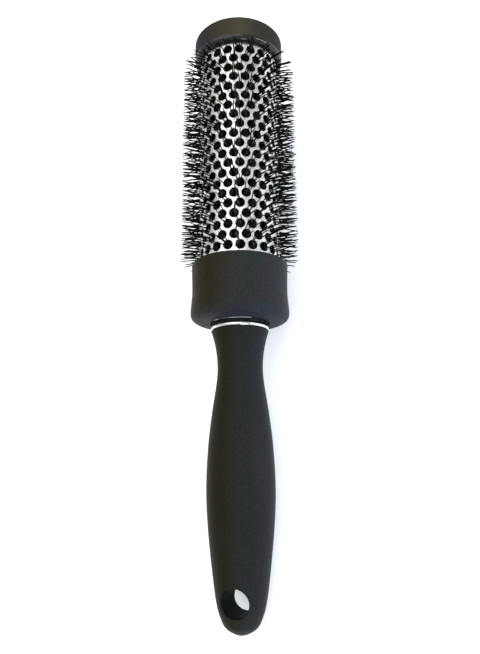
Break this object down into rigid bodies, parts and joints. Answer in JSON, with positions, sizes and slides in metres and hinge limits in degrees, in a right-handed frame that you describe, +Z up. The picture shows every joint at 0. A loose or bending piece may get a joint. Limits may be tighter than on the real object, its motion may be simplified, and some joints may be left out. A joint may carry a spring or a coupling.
{
  "type": "thermal round brush",
  "caption": "Round blow-dry brush with a perforated aluminium barrel, rows of black bristles, and a soft-touch handle with a hang hole.",
  "frame": {"origin": "on the ground, below the middle of the brush's box, as it lies at rest on its bristles and its handle", "axes": "+Y along the brush towards the barrel, +Z up, +X to the right; the brush's axis rises towards the barrel, as it does at rest, and the hang hole faces up"},
  "size_m": [0.0471, 0.235, 0.056],
  "materials": {
    "cap_plastic": "moulded, satin",
    "soft_touch": "soft-touch rubberised coat",
    "soft_touch_skin": "soft-touch skin",
    "barrel_aluminium": "satin",
    "bristle_nylon": "satin nylon filament",
    "core_plastic": "as moulded",
    "neck_plastic": "as moulded",
    "trim_chrome": "polished",
    "insert_brass": "turned",
    "rod_steel": "zinc plated"
  },
  "bodies": {
    "root": {"end_cap": "cap_plastic", "front_retainer": "core_plastic", "barrel": "barrel_aluminium", "bristle_core": "core_plastic", "bristle_strip_01": "bristle_nylon", "bristle_strip_02": "bristle_nylon", "bristle_strip_03": "bristle_nylon", "bristle_strip_04": "bristle_nylon", "bristle_strip_05": "bristle_nylon", "bristle_strip_06": "bristle_nylon", "bristle_strip_07": "bristle_nylon", "bristle_strip_08": "bristle_nylon", "bristle_strip_09": "bristle_nylon", "bristle_strip_10": "bristle_nylon", "bristle_strip_11": "bristle_nylon", "bristle_strip_12": "bristle_nylon", "bristle_strip_13": "bristle_nylon", "bristle_strip_14": "bristle_nylon", "bristle_strip_15": "bristle_nylon", "bristle_strip_16": "bristle_nylon", "bristle_strip_17": "bristle_nylon", "bristle_strip_18": "bristle_nylon", "bristle_strip_19": "bristle_nylon", "bristle_strip_20": "bristle_nylon", "bristle_strip_21": "bristle_nylon", "barrel_hub": "neck_plastic", "collar": "soft_touch", "trim_ring": "trim_chrome", "handle_core": "core_plastic", "handle_grip": "soft_touch_skin", "threaded_insert": "insert_brass", "tie_rod": "rod_steel", "tie_washer": "rod_steel", "tie_nut": "rod_steel"}
  },
  "joints": []
}
